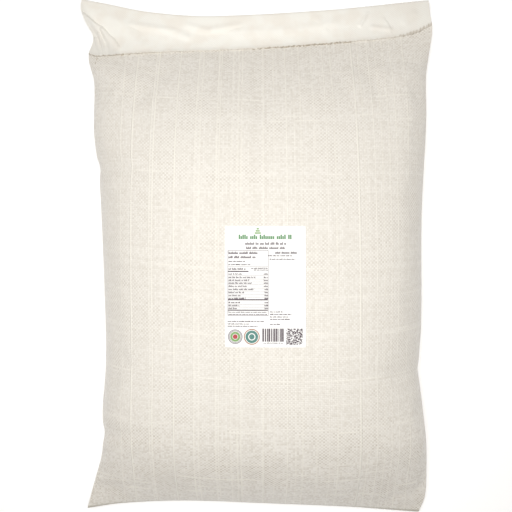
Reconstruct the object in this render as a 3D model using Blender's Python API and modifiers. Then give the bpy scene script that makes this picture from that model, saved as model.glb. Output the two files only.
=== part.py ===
"""A shut, filled sack of rice that lies on its back with its label up.

The sack is a tube of woven cloth, half a metre wide when it lies empty. Its foot is sewn flat, and its
mouth is turned over to the front in a band. +X is the right side as seen from above, +Y points to the
sack's head, and the origin is on the floor under the middle of the whole sack.
"""

import math

import bmesh
import bpy

# The outline from above: places along the sack (Y) with the X of its left and right side
LEFT_SIDE = (
    (0.3705, -0.2565),
    (0.3605, -0.2568),
    (0.3380, -0.2480),
    (0.3175, -0.2366),
    (0.2860, -0.2425),
    (0.2470, -0.2315),
    (0.1700, -0.2278),
    (0.0980, -0.2184),
    (-0.0690, -0.2105),
    (-0.1490, -0.2098),
    (-0.2070, -0.2150),
    (-0.2720, -0.2185),
    (-0.3220, -0.2332),
    (-0.3680, -0.2480),
)
RIGHT_SIDE = (
    (0.3700, 0.2512),
    (0.3560, 0.2516),
    (0.3290, 0.2544),
    (0.2990, 0.2494),
    (0.2530, 0.2410),
    (0.1950, 0.2380),
    (0.0570, 0.2286),
    (-0.0920, 0.2276),
    (-0.1580, 0.2245),
    (-0.2050, 0.2303),
    (-0.2700, 0.2392),
    (-0.3220, 0.2434),
    (-0.3510, 0.2430),
    (-0.3735, 0.2364),
)

# The ends from above: places across the sack, -1 left to 1 right, with the Y of the fold or the seam
HEAD_FOLD = (
    (-1.0, 0.3715),
    (-0.87, 0.3640),
    (-0.60, 0.3487),
    (-0.25, 0.3411),
    (0.40, 0.3502),
    (1.0, 0.3700),
)
FOOT_SEAM = (
    (-1.0, -0.3690),
    (-0.78, -0.3590),
    (-0.42, -0.3525),
    (0.0, -0.3545),
    (0.55, -0.3620),
    (1.0, -0.3745),
)

# The side view: distances from the head fold as a share of the length, with heights above the floor
CROWN = (
    (0.0, 0.0370),
    (0.06, 0.0430),
    (0.11, 0.0640),
    (0.17, 0.0940),
    (0.27, 0.1260),
    (0.40, 0.1450),
    (0.55, 0.1510),
    (0.70, 0.1470),
    (0.82, 0.1310),
    (0.91, 0.1030),
    (0.965, 0.0690),
    (1.0, 0.0360),
)
SIDE_FOLD = (
    (0.0, 0.0200),
    (0.10, 0.0300),
    (0.25, 0.0530),
    (0.50, 0.0620),
    (0.80, 0.0560),
    (0.93, 0.0330),
    (1.0, 0.0170),
)
BELLY_DEPTH = (
    (0.0, 0.0),
    (0.05, 0.0010),
    (0.11, 0.0200),
    (0.20, 0.0640),
    (0.32, 0.0860),
    (0.50, 0.0900),
    (0.78, 0.0880),
    (0.90, 0.0700),
    (0.965, 0.0340),
    (1.0, 0.0),
)

# The section across the sack
END_ARCH = 0.0160  # the middle of each flat end stands this much higher than its corners
END_REACH = 0.16  # share of the length over which the arch fades and the sides turn round
SEAM_HALF = 0.0020  # half the thickness of the cloth where the ends are pressed flat
FLOOR_BLEND = 0.0050  # height within which the cloth turns from the floor up into the sides
CROWN_POWER = 2.3
FLAT_END_POWER = 1.0
ROUND_SIDE_POWER = 0.5

# Places where a side is pushed in: side, Y, depth, half width
SIDE_DENTS = ((-1, 0.1215, 0.0040, 0.0090), (-1, -0.2460, 0.0030, 0.0110), (1, -0.1560, 0.0020, 0.0090))

# Broad unevenness of the filling: X, Y, radius, height
LUMPS = (
    (-0.115, 0.105, 0.085, 0.0035),
    (0.120, 0.130, 0.080, -0.0030),
    (-0.105, -0.150, 0.090, -0.0030),
    (0.115, -0.135, 0.085, 0.0035),
    (0.010, 0.205, 0.070, -0.0025),
    (0.000, -0.255, 0.080, 0.0025),
)

BODY_COLUMNS = 28
BODY_ROWS = 62
ROW_CROWDING = 0.40  # 0 spaces the rows evenly, towards 1 they crowd at both ends

# The turned-over mouth
BAND_EDGE = (
    (-1.0, 0.2905),
    (-0.93, 0.2840),
    (-0.60, 0.2893),
    (0.0, 0.2950),
    (0.50, 0.3057),
    (0.85, 0.3180),
    (1.0, 0.3345),
)
BAND_THICKNESS = 0.0012
BAND_INSET = 0.0012
BAND_COLUMNS = 62
BAND_ROWS = 13
NOSE_STEPS = 6

# Folds of the band: start X, start Y, end X, end Y, height, half width
BAND_FOLDS = (
    (-0.243, 0.345, -0.212, 0.296, 0.0036, 0.0060),
    (-0.232, 0.352, -0.188, 0.292, 0.0045, 0.0070),
    (-0.214, 0.350, -0.168, 0.300, 0.0026, 0.0065),
    (-0.150, 0.326, -0.020, 0.322, 0.0022, 0.0080),
    (-0.010, 0.330, 0.110, 0.334, 0.0020, 0.0075),
    (0.140, 0.350, 0.165, 0.322, 0.0028, 0.0070),
    (0.190, 0.356, 0.188, 0.326, 0.0018, 0.0060),
)

# The label, stuck on the crown
LABEL_WIDTH = 0.1016
LABEL_LENGTH = 0.1524
LABEL_CENTRE = (0.0104, -0.0381)
LABEL_THICKNESS = 0.0004
LABEL_COLUMNS = 12
LABEL_ROWS = 16

CLEARANCE = 0.0004  # between one piece and the next

# Finishes: base colour and roughness
WOVEN_CLOTH = ((0.91, 0.87, 0.78, 1.0), 0.85)
SMOOTH_CLOTH = ((0.92, 0.87, 0.78, 1.0), 0.75)
PAPER = ((0.97, 0.97, 0.95, 1.0), 0.60)


def smooth_curve(points, at):
    """The value of a smooth curve through points of (place, value), whose places rise or fall in order."""
    ordered = sorted(points)
    at = min(max(at, ordered[0][0]), ordered[-1][0])
    index = 1
    while index < len(ordered) - 1 and ordered[index][0] < at:
        index += 1
    start, end = ordered[index - 1], ordered[index]
    before = ordered[max(index - 2, 0)]
    after = ordered[min(index + 1, len(ordered) - 1)]
    span = end[0] - start[0]
    slope_in = (end[1] - before[1]) / (end[0] - before[0]) * span
    slope_out = (after[1] - start[1]) / (after[0] - start[0]) * span
    t = (at - start[0]) / span
    rest = 1.0 - t
    swing = t * rest * (rest * slope_in - t * slope_out)
    return start[1] * rest * rest * (1.0 + 2.0 * t) + end[1] * t * t * (3.0 - 2.0 * t) + swing


def ease(value):
    """A smooth step from 0 to 1."""
    value = min(max(value, 0.0), 1.0)
    return value * value * (3.0 - 2.0 * value)


def bell(distance, half_width):
    """A round bump that is 1 at its middle."""
    return math.exp(-((distance / half_width) ** 2))


def rest_on_floor(height):
    """A height that is 0 where the cloth would press into the floor, with a soft turn where it leaves it."""
    if height <= -FLOOR_BLEND:
        return 0.0
    if height >= FLOOR_BLEND:
        return height
    return (height + FLOOR_BLEND) ** 2 / (4.0 * FLOOR_BLEND)


def side_x(side, y):
    """The X of the left (-1) or right (1) side at a place along the sack."""
    x = smooth_curve(LEFT_SIDE if side < 0 else RIGHT_SIDE, y)
    for dented, dent_y, depth, half_width in SIDE_DENTS:
        if dented == side:
            x -= side * depth * bell(y - dent_y, half_width)
    return x


def row_y(across, along):
    """The Y of a point, across from -1 to 1 and along from the head fold (0) to the foot seam (1)."""
    return smooth_curve(HEAD_FOLD, across) * (1.0 - along) + smooth_curve(FOOT_SEAM, across) * along


def row_x(across, along):
    """The X of a point between the two sides."""
    left = side_x(-1, row_y(-1.0, along))
    right = side_x(1, row_y(1.0, along))
    return left + (right - left) * (across + 1.0) / 2.0


def lump_height(x, y):
    """How far the filling lifts or lowers the front at a place."""
    lift = 0.0
    for lump_x, lump_y, radius, height in LUMPS:
        lift += height * bell(math.hypot(x - lump_x, y - lump_y), radius)
    return lift


def sack_point(across, along, side):
    """A point on the front (side 1) or the back (side -1) of the sack."""
    x = row_x(across, along)
    y = row_y(across, along)
    inward = ease(min(along, 1.0 - along) / END_REACH)
    middle = smooth_curve(SIDE_FOLD, along) + END_ARCH * (1.0 - inward) * (1.0 - across * across)
    power = FLAT_END_POWER + (ROUND_SIDE_POWER - FLAT_END_POWER) * inward
    round_off = max(1.0 - abs(across) ** CROWN_POWER, 0.0) ** power
    if side > 0:
        centre = smooth_curve(SIDE_FOLD, along) + END_ARCH * (1.0 - inward)
        rise = max(smooth_curve(CROWN, along) - centre - SEAM_HALF, 0.0)
        lump = lump_height(x, y) * inward * round_off
        return x, y, middle + SEAM_HALF + rise * round_off + lump
    drop = smooth_curve(BELLY_DEPTH, along)
    return x, y, rest_on_floor(middle - SEAM_HALF - drop * round_off)


def find_on_sack(x, y):
    """The across and along of the front's point over a place on the floor."""
    across, along = 0.0, 0.5
    for _ in range(8):
        head = smooth_curve(HEAD_FOLD, across)
        foot = smooth_curve(FOOT_SEAM, across)
        along = (head - y) / (head - foot)
        left, right = row_x(-1.0, along), row_x(1.0, along)
        across = 2.0 * (x - left) / (right - left) - 1.0
    return across, along


def make_material(name, finish):
    """A Principled material of one colour and roughness."""
    colour, roughness = finish
    material = bpy.data.materials.new(name)
    material.use_nodes = True
    shader = material.node_tree.nodes["Principled BSDF"]
    shader.inputs["Base Color"].default_value = colour
    shader.inputs["Roughness"].default_value = roughness
    shader.inputs["Metallic"].default_value = 0.0
    return material


def add_object(name, mesh, collection, material):
    """An object of a bmesh, shaded smooth, in a collection."""
    data = bpy.data.meshes.new(name)
    mesh.to_mesh(data)
    mesh.free()
    data.materials.append(material)
    data.shade_smooth()
    piece = bpy.data.objects.new(name, data)
    collection.objects.link(piece)
    return piece


def add_thickness(piece, thickness):
    """A Solidify modifier that thickens a sheet outwards."""
    wall = piece.modifiers.new("thickness", "SOLIDIFY")
    wall.thickness = thickness
    wall.offset = 1.0


def gridded_block(columns, rows):
    """A cube from -1 to 1 whose front and back are cut into columns along X and rows along Y."""
    mesh = bmesh.new()
    bmesh.ops.create_cube(mesh, size=2.0)
    for axis, pieces in ((0, columns), (1, rows)):
        edges = [edge for edge in mesh.edges if abs(edge.verts[0].co[axis] - edge.verts[1].co[axis]) > 1.0]
        bmesh.ops.subdivide_edges(mesh, edges=edges, cuts=pieces - 1, use_grid_fill=True)
    return mesh


def build_body(collection):
    """The filled sack: a block whose corners, sides and faces are moved to the form of the cloth."""
    mesh = gridded_block(BODY_COLUMNS, BODY_ROWS)
    for vertex in mesh.verts:
        across = math.sin(vertex.co.x * math.pi / 2.0)
        even = (1.0 - vertex.co.y) / 2.0
        along = even - ROW_CROWDING * math.sin(2.0 * math.pi * even) / (2.0 * math.pi)
        vertex.co = sack_point(across, along, vertex.co.z)
    return add_object("sack_body", mesh, collection, make_material("woven cloth", WOVEN_CLOTH))


def fold_height(x, y):
    """The height of the band's folds at a place."""
    height = 0.0
    for start_x, start_y, end_x, end_y, fold, half_width in BAND_FOLDS:
        run_x, run_y = end_x - start_x, end_y - start_y
        length = math.hypot(run_x, run_y)
        along = ((x - start_x) * run_x + (y - start_y) * run_y) / length
        beside = ((x - start_x) * run_y - (y - start_y) * run_x) / length
        past = max(-along, along - length, 0.0)
        height += fold * bell(beside, half_width) * bell(past, 2.0 * half_width)
    return height


def band_path(across):
    """The band's points at one place across: up its front from the free edge, then round the head fold."""
    head_y, foot_y = row_y(across, 0.0), row_y(across, 1.0)
    edge_along = (head_y - smooth_curve(BAND_EDGE, across)) / (head_y - foot_y)
    points = []
    for row in range(BAND_ROWS + 1):
        along = edge_along * (1.0 - row / BAND_ROWS)
        x, y, z = sack_point(across, along, 1)
        fade = ease(along / edge_along * 4.0)
        points.append((x, y, z + CLEARANCE + fold_height(x, y) * fade))
    radius = SEAM_HALF + CLEARANCE
    head_x, _, front_z = points[-1]
    for step in range(1, NOSE_STEPS + 1):
        turn = math.pi * step / NOSE_STEPS
        nose_y = head_y + CLEARANCE + radius * math.sin(turn)
        points.append((head_x, nose_y, front_z - radius * (1.0 - math.cos(turn))))
    return points


def build_band(collection):
    """The turned-over mouth: a strip of cloth over the head fold, thickened outwards."""
    path_steps = BAND_ROWS + NOSE_STEPS
    mesh = bmesh.new()
    bmesh.ops.create_grid(mesh, x_segments=BAND_COLUMNS, y_segments=path_steps, size=1.0)
    widest = 1.0 - BAND_INSET / side_x(1, 0.35)
    paths = {}
    for vertex in mesh.verts:
        column = round((vertex.co.x + 1.0) / 2.0 * BAND_COLUMNS)
        step = round((vertex.co.y + 1.0) / 2.0 * path_steps)
        if column not in paths:
            paths[column] = band_path(widest * (2.0 * column / BAND_COLUMNS - 1.0))
        vertex.co = paths[column][step]
    piece = add_object("top_band", mesh, collection, make_material("smooth cloth", SMOOTH_CLOTH))
    add_thickness(piece, BAND_THICKNESS)
    return piece


def build_label(collection):
    """The paper label: a rectangle laid on the crown, thickened outwards."""
    mesh = bmesh.new()
    bmesh.ops.create_grid(mesh, x_segments=LABEL_COLUMNS, y_segments=LABEL_ROWS, size=0.5)
    for vertex in mesh.verts:
        x = LABEL_CENTRE[0] + vertex.co.x * LABEL_WIDTH
        y = LABEL_CENTRE[1] + vertex.co.y * LABEL_LENGTH
        vertex.co = (x, y, sack_point(*find_on_sack(x, y), 1)[2] + CLEARANCE)
    piece = add_object("label", mesh, collection, make_material("paper", PAPER))
    add_thickness(piece, LABEL_THICKNESS)
    return piece


def centre_on_floor(pieces):
    """Moves the pieces so that the origin is under the middle of their common box."""
    depsgraph = bpy.context.evaluated_depsgraph_get()
    corners = [corner for piece in pieces for corner in piece.evaluated_get(depsgraph).bound_box]
    for axis in (0, 1):
        places = [corner[axis] for corner in corners]
        for piece in pieces:
            piece.location[axis] = -(min(places) + max(places)) / 2.0


def main():
    """Empties the scene and builds the sack."""
    for old in list(bpy.data.objects):
        bpy.data.objects.remove(old, do_unlink=True)
    collection = bpy.data.collections.new("sack of rice")
    bpy.context.scene.collection.children.link(collection)
    centre_on_floor([build_body(collection), build_band(collection), build_label(collection)])


main()
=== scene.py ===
"""A shut, filled sack of rice that lies on its back, seen from straight above.

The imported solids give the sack's form and its place. This script stands a finely woven cloth, a turned-over
mouth of smooth cloth and a printed paper label in their stead.
"""

import logging
import math
import random
from dataclasses import dataclass, field
from enum import Enum
from functools import partial

import bmesh
import bpy
import numpy as np
from bpy.types import Material, Mesh, Node, NodeSocket, NodeTree, Object
from mathutils import Matrix, Vector
from mathutils.bvhtree import BVHTree


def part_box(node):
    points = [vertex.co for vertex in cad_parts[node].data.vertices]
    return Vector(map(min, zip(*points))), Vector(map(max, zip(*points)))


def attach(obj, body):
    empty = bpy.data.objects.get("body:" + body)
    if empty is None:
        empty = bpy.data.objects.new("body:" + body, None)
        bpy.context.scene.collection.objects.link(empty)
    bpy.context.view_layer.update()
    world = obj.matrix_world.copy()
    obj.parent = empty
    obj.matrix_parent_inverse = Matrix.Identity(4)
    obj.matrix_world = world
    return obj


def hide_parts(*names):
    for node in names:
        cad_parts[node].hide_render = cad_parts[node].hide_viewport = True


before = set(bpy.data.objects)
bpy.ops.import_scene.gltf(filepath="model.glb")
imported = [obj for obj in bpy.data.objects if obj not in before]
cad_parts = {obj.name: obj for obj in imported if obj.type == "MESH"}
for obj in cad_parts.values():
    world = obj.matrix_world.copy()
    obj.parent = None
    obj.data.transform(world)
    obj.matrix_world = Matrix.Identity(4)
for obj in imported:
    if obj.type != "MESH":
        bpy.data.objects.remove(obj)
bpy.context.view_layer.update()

log = logging.getLogger("sack")

Points = tuple[tuple[float, float], ...]
Range = tuple[float, float, float, float]  # from one place to another, and the values at both
MM = 0.001
# The long fold from the left head corner to the band's free edge
CORNER_FOLD: Points = (
    (-0.248, 0.3505), (-0.231, 0.336), (-0.222, 0.331), (-0.213, 0.320), (-0.203, 0.311), (-0.195, 0.298),
    (-0.194, 0.284),
)


class Side(Enum):
    """The two sheets of the tube of cloth."""

    FRONT = 1.0
    BACK = -1.0


class Ink(Enum):
    """The printing inks of the label, as sRGB hex."""

    DARK = "#45313F"
    GREY = "#776C76"
    GREEN = "#3F8A45"
    LEAF = "#7FAA62"
    RED = "#B8242F"
    RUST = "#A4622F"
    TEAL = "#3F8077"


def linear(colour: str) -> tuple[float, float, float, float]:
    """Turns an sRGB hex colour into linear light.

    Args:
        colour: a hex colour such as "#F4EEE2".

    Returns:
        Red, green and blue from 0 to 1, and an alpha of 1.
    """
    parts = [int(colour[start : start + 2], 16) / 255.0 for start in (1, 3, 5)]
    return (*(c / 12.92 if c <= 0.04045 else ((c + 0.055) / 1.055) ** 2.4 for c in parts), 1.0)


def smooth_curve(points: Points, at: np.ndarray | float) -> np.ndarray:
    """Reads a smooth curve through points, level beyond its ends.

    Args:
        points: pairs of (place, value), whose places rise or fall in order.
        at: the places to read.

    Returns:
        The curve's values there.
    """
    places, values = np.array(sorted(points)).T
    at = np.clip(at, places[0], places[-1])
    end = np.clip(np.searchsorted(places, at), 1, len(places) - 1)
    start = end - 1
    before, after = np.maximum(start - 1, 0), np.minimum(end + 1, len(places) - 1)
    span = places[end] - places[start]
    slope_in = (values[end] - values[before]) / (places[end] - places[before]) * span
    slope_out = (values[after] - values[start]) / (places[after] - places[start]) * span
    t = (at - places[start]) / span
    rest = 1.0 - t
    swing = t * rest * (rest * slope_in - t * slope_out)
    return values[start] * rest * rest * (1.0 + 2.0 * t) + values[end] * t * t * (3.0 - 2.0 * t) + swing


def ease(value: np.ndarray) -> np.ndarray:
    """A smooth step from 0 to 1."""
    value = np.clip(value, 0.0, 1.0)
    return value * value * (3.0 - 2.0 * value)


def bell(distance: np.ndarray, half_width: float) -> np.ndarray:
    """A round bump that is 1 at its middle."""
    return np.exp(-((distance / half_width) ** 2))


def add_node(tree: NodeTree, kind: str, feeds: dict | list = (), **settings) -> Node:
    """Adds a node with its settings and what flows into it.

    Args:
        tree: the material's node tree.
        kind: the node's type in Blender, without its prefix "ShaderNode".
        feeds: nodes, sockets or plain values: a list for the first inputs, or by an input's name or number.
        settings: the node's own properties.

    Returns:
        The new node.
    """
    node = tree.nodes.new("ShaderNode" + kind)
    for name, value in settings.items():
        setattr(node, name, value)
    for key, value in feeds.items() if isinstance(feeds, dict) else enumerate(feeds):
        if isinstance(value, Node):
            value = value.outputs[0]
        if isinstance(value, NodeSocket):
            tree.links.new(value, node.inputs[key])
        else:
            node.inputs[key].default_value = value
    return node


def new_material(name: str, roughness: float, ior: float, sheen: float = 0.0) -> Material:
    """Starts a material with a Principled shader.

    Args:
        name: the material's name.
        roughness: the shader's roughness.
        ior: the shader's index of refraction.
        sheen: the weight of the soft glow that fine fibres give.

    Returns:
        The material, whose shader node is still named "Principled BSDF".
    """
    material = bpy.data.materials.new(name)
    material.use_nodes = True
    shader = material.node_tree.nodes["Principled BSDF"]
    shader.inputs["Roughness"].default_value = roughness
    shader.inputs["IOR"].default_value = ior
    shader.inputs["Sheen Weight"].default_value = sheen
    return material


def paint(tree: NodeTree, ground: str, layers: list[tuple], bump: Node | None = None) -> None:
    """Lays colours over one another and feeds them, and a bump, to the shader.

    Args:
        tree: the material's node tree.
        ground: the lowest colour, as sRGB hex.
        layers: for each colour over it, the node or socket of its cover, and the colour.
        bump: the node of the surface's fine relief, or None.
    """
    shader = tree.nodes["Principled BSDF"]
    colour = linear(ground)
    for cover, over in layers:
        colour = add_node(tree, "Mix", {0: cover, 6: colour, 7: linear(over)}, data_type="RGBA").outputs[2]
    tree.links.new(colour, shader.inputs["Base Color"])
    if bump:
        tree.links.new(bump.outputs[0], shader.inputs["Normal"])


def deselect_all() -> None:
    """Leaves edit mode if it is on and deselects every object."""
    if bpy.context.mode != "OBJECT":
        bpy.ops.object.mode_set(mode="OBJECT")
    bpy.ops.object.select_all(action="DESELECT")


def make_active(piece: Object) -> None:
    """Selects one object alone."""
    deselect_all()
    piece.select_set(True)
    bpy.context.view_layer.objects.active = piece


def vertex_places(mesh: Mesh) -> np.ndarray:
    """The places of a mesh's vertices, one row each."""
    places = np.empty(len(mesh.vertices) * 3)
    mesh.vertices.foreach_get("co", places)
    return places.reshape(-1, 3)


def move_vertices(mesh: Mesh, places: np.ndarray) -> None:
    """Puts a mesh's vertices at new places, one row each."""
    mesh.vertices.foreach_set("co", places.astype(np.float32).ravel())
    mesh.update()


def apply_modifiers(piece: Object) -> None:
    """Applies all of an object's modifiers in their order."""
    make_active(piece)
    for name in [modifier.name for modifier in piece.modifiers]:
        bpy.ops.object.modifier_apply(modifier=name)


def face_corners(mesh: Mesh) -> np.ndarray:
    """The vertex at each corner of a mesh's faces."""
    corners = np.empty(len(mesh.loops), dtype=int)
    mesh.loops.foreach_get("vertex_index", corners)
    return corners


def lay_cloth_map(mesh: Mesh, across: np.ndarray, along: np.ndarray) -> None:
    """Gives a mesh its one map, "cloth", in metres of cloth.

    Args:
        mesh: the piece's mesh.
        across: the place across the cloth at each corner of its faces.
        along: the place along the cloth there.
    """
    for layer in list(mesh.uv_layers):
        mesh.uv_layers.remove(layer)
    pairs = np.stack([across, along], axis=1).astype(np.float32)
    mesh.uv_layers.new(name="cloth").data.foreach_set("uv", pairs.ravel())


def cut_edges(piece: Object, axis: int, reach: float, cuts: int) -> None:
    """Cuts up the edges that run far along one axis.

    Args:
        piece: the piece.
        axis: 0 for X or 1 for Y.
        reach: how far along the axis an edge runs at least.
        cuts: the number of cuts in each edge.
    """
    make_active(piece)
    bpy.ops.object.mode_set(mode="EDIT")
    bpy.ops.mesh.select_mode(type="EDGE")
    bpy.ops.mesh.select_all(action="DESELECT")
    for edge in bmesh.from_edit_mesh(piece.data).edges:
        edge.select_set(abs(edge.verts[0].co[axis] - edge.verts[1].co[axis]) > reach)
    bmesh.update_edit_mesh(piece.data)
    bpy.ops.mesh.subdivide(number_cuts=cuts)
    bpy.ops.object.mode_set(mode="OBJECT")


def thicken(piece: Object, thickness: float, crease: float) -> None:
    """Thickens a sheet outwards and shades it smooth.

    Args:
        piece: the sheet.
        thickness: its thickness.
        crease: the angle in degrees past which an edge stays sharp.
    """
    wall = piece.modifiers.new("thickness", "SOLIDIFY")
    wall.thickness = thickness
    wall.offset = 1.0
    apply_modifiers(piece)
    bpy.ops.object.shade_smooth_by_angle(angle=math.radians(crease))


def dress(piece: Object, name: str, material: Material) -> None:
    """Names a finished piece, gives it its one material and lets it ride on the sack.

    Args:
        piece: the piece.
        name: the piece's own name.
        material: its material.
    """
    piece.name = name
    piece.data.name = name
    piece.data.materials.clear()
    piece.data.materials.append(material)
    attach(piece, "root")
    log.info("%s: %d faces", name, len(piece.data.polygons))


@dataclass(frozen=True)
class WovenCloth:
    """Plain-woven flat tapes of undyed off-white yarn, loomed as a tube and left unpressed.

    The eye gets a dull, even cream, a fine chequer of tapes over and under each other, and thicker, paler
    slub threads that run the sack's whole length at uneven spacings, with shorter ones across it.
    """

    gap_colour: str = "#D3CBBD"
    tape_colour: str = "#F8F4EC"
    slub_colour: str = "#FFFBF0"
    foot_edge_shade_colour: str = "#B9B3A3"
    foot_edge_shade: Range = (0.7735, 0.7770, 0.0, 0.70)  # painted shade where the cloth turns down at the foot's edge: where it begins, by the length
    roughness: float = 0.85
    ior: float = 1.5
    sheen: float = 0.50
    tape: float = 2.5 * MM
    tape_thickness: float = 0.35 * MM
    relief: float = 0.6
    slub_relief: float = 2.2  # a slub thread's height against a tape's
    # The threads drift by a millimetre or two over a hand's breadth
    drift: float = 4.0 * MM
    drift_scale: float = 3.0
    # The tapes' lightness, and what one tape, one crossing, the broad clouds and a tape's roundness add to it
    lightness: float = 0.55
    tape_tone: float = 0.11
    crossing_tone: float = 0.32
    cloud_tone: float = 0.12
    round_tone: float = 0.06
    cloud_scale: float = 5.0
    patch_scale: float = 14.0
    chequer: Range = (0.46, 0.60, 0.06, 0.40)  # how clear it is, by the patches
    # Both ends are gathered: the places along the sack, and the gain at the head and at the foot
    head_reach: tuple[float, float] = (0.24, 0.08)
    foot_reach: tuple[float, float] = (0.58, 0.69)
    weave_gains: tuple[float, float] = (1.5, 2.3)
    slub_gains: tuple[float, float] = (1.4, 1.8)
    # Distance round the girth from the front's middle, and how strongly the thread stands out
    slubs: Points = (
        (-0.1855, 0.50), (-0.1680, 1.15), (-0.1410, 0.55), (-0.1370, 0.90), (-0.1070, 1.20), (-0.0805, 0.60),
        (-0.0745, 0.50), (-0.0525, 0.65), (-0.0490, 0.50), (-0.0330, 0.35), (-0.0250, 0.60), (-0.0205, 0.60),
        (0.0080, 0.65), (0.0220, 0.30), (0.0385, 0.55), (0.0490, 0.25), (0.0575, 0.40), (0.0750, 0.30),
        (0.0910, 0.30), (0.1020, 0.55), (0.1325, 1.35), (0.1420, 0.35), (0.1560, 0.45), (0.1670, 0.35),
        (0.1780, 0.30), (0.1890, 0.50), (0.2080, 0.45),
    )
    slub_half_widths: tuple[float, float] = (1.40 * MM, 0.56 * MM)  # at the thread's foot and at its crest
    beads: tuple[float, float] = (0.35, 0.75)  # the cross tapes pinch a slub thread: by how much, to what share
    swell_scales: tuple[float, float] = (90.0, 14.0)  # round the girth and along the sack
    swell: Range = (0.34, 0.60, 0.35, 1.0)  # each thread thins out and swells again along its length
    cross_slubs: Range = (0.83, 0.98, 0.0, 0.38)  # about one cross tape in six, by its own chance value
    break_scales: tuple[float, float] = (22.0, 3.7)  # round the girth and from tape to tape
    breaks: Range = (0.50, 0.60, 0.0, 1.0)

    def material(self) -> Material:
        """Builds the material on the piece's own map "cloth", which is in metres of cloth.

        Returns:
            The material.
        """
        material = new_material("woven cloth", self.roughness, self.ior, self.sheen)
        tree = material.node_tree
        add = partial(add_node, tree)
        cloth_map = add("UVMap", uv_map="cloth")
        drift = add("TexNoise", {"Vector": cloth_map, "Scale": self.drift_scale, "Detail": 1.0})
        centred = add("VectorMath", [drift.outputs["Color"], (0.5, 0.5, 0.5)], operation="SUBTRACT")
        swing = add("VectorMath", {0: centred, "Scale": self.drift}, operation="SCALE")
        place = add("VectorMath", [cloth_map, swing], operation="ADD")
        girth, length = add("SeparateXYZ", [place]).outputs[:2]

        numbers, rounds, tones = [], [], []
        for reach in (girth, length):
            tapes = add("Math", [reach, 1.0 / self.tape], operation="MULTIPLY")
            within = add("Math", [tapes], operation="FRACT")
            sine = add("Math", [within, math.pi], operation="MULTIPLY")
            rounds.append(add("Math", [sine], operation="SINE"))
            numbers.append(add("Math", [tapes], operation="FLOOR"))
            tones.append(add("TexWhiteNoise", {"W": numbers[-1]}, noise_dimensions="1D"))
        both = add("Math", numbers, operation="ADD")
        lengthwise_over = add("Math", [both, 1.0], operation="PINGPONG")
        weave = add("Mix", {0: lengthwise_over, 2: rounds[1], 3: rounds[0]})

        gathered = self._gathered(tree, length, self.weave_gains)
        beads = add("Math", [rounds[1], *self.beads], operation="MULTIPLY_ADD")
        lengthwise = add("Math", [self._lengthwise_slubs(tree, girth, length), beads], operation="MULTIPLY")
        chosen = add("MapRange", [tones[1], *self.cross_slubs])
        shown = self._unevenness(tree, (girth, numbers[1]), self.break_scales, 1.0, self.breaks)
        across = add("Math", [chosen, shown], operation="MULTIPLY")
        across = add("Math", [across, gathered], operation="MULTIPLY")
        slub = add("Math", [lengthwise, across], operation="MAXIMUM")

        # Lightness of the tapes: over against under, one tape against the next, and broad clouds
        clouds = add("TexNoise", {"Vector": cloth_map, "Scale": self.cloud_scale, "Detail": 2.0})
        patches = add("TexNoise", {"Vector": cloth_map, "Scale": self.patch_scale, "Detail": 2.0})
        clear = add("MapRange", [patches, *self.chequer])
        clear = add("Math", [clear, gathered], operation="MULTIPLY")
        cell = add("CombineXYZ", numbers)
        crossings = add("TexWhiteNoise", {"Vector": cell}, noise_dimensions="2D")
        crossings = add("Math", [crossings, 0.5], operation="SUBTRACT")
        crossings = add("Math", [crossings, gathered], operation="MULTIPLY")
        over = add("Math", [lengthwise_over, 0.5], operation="SUBTRACT")
        light = add("Math", [over, clear, self.lightness], operation="MULTIPLY_ADD")
        for source, amount in (
            (tones[0], self.tape_tone),
            (tones[1], self.tape_tone),
            (crossings, self.crossing_tone),
            (clouds, self.cloud_tone),
            (rounds[0], self.round_tone),
            (rounds[1], self.round_tone),
        ):
            light = add("Math", [source, amount, light], operation="MULTIPLY_ADD")
        light = add("Clamp", [light])
        # Painted shade: the last few millimetres before the foot seam are darker, where the cloth turns down
        foot_edge_shade = add("MapRange", [length, *self.foot_edge_shade])
        height = add("Math", [slub, self.slub_relief, weave], operation="MULTIPLY_ADD")
        bump = add("Bump", {"Strength": self.relief, "Distance": self.tape_thickness, "Height": height})
        layers = [(light, self.tape_colour), (slub, self.slub_colour), (foot_edge_shade, self.foot_edge_shade_colour)]
        paint(tree, self.gap_colour, layers, bump)
        return material

    def _lengthwise_slubs(self, tree: NodeTree, girth: NodeSocket, length: NodeSocket) -> Node:
        """Draws the slub threads that run the sack's length.

        Args:
            tree: the material's node tree.
            girth: the place round the sack, in metres.
            length: the place along the sack, in metres.

        Returns:
            A node from 0 beside the threads to their strength on them.
        """
        add = partial(add_node, tree)
        total = 0.0
        for place, strength in self.slubs:
            offset = add("Math", [girth, place], operation="SUBTRACT")
            distance = add("Math", [offset], operation="ABSOLUTE")
            thread = add("MapRange", [distance, *self.slub_half_widths, 0.0, strength])
            total = add("Math", [total, thread], operation="MAXIMUM")
        share = self._unevenness(tree, (girth, length), self.swell_scales, 2.0, self.swell)
        for factor in (share, self._gathered(tree, length, self.slub_gains)):
            total = add("Math", [total, factor], operation="MULTIPLY")
        return total

    @staticmethod
    def _unevenness(
        tree: NodeTree, sources: tuple, scales: tuple[float, float], detail: float, shown: Range
    ) -> Node:
        """Finds how strongly a thread shows along its length.

        Args:
            tree: the material's node tree.
            sources: the place across the threads and along them, in either order.
            scales: how many clouds each of them passes in a metre, or in a tape.
            detail: the noise's detail.
            shown: the strength, by the noise.

        Returns:
            A node with the strength.
        """
        add = partial(add_node, tree)
        stretched = [add("Math", pair, operation="MULTIPLY") for pair in zip(sources, scales)]
        place = add("CombineXYZ", stretched)
        noise = add("TexNoise", {"Vector": place, "Scale": 1.0, "Detail": detail})
        return add("MapRange", [noise, *shown])

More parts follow.
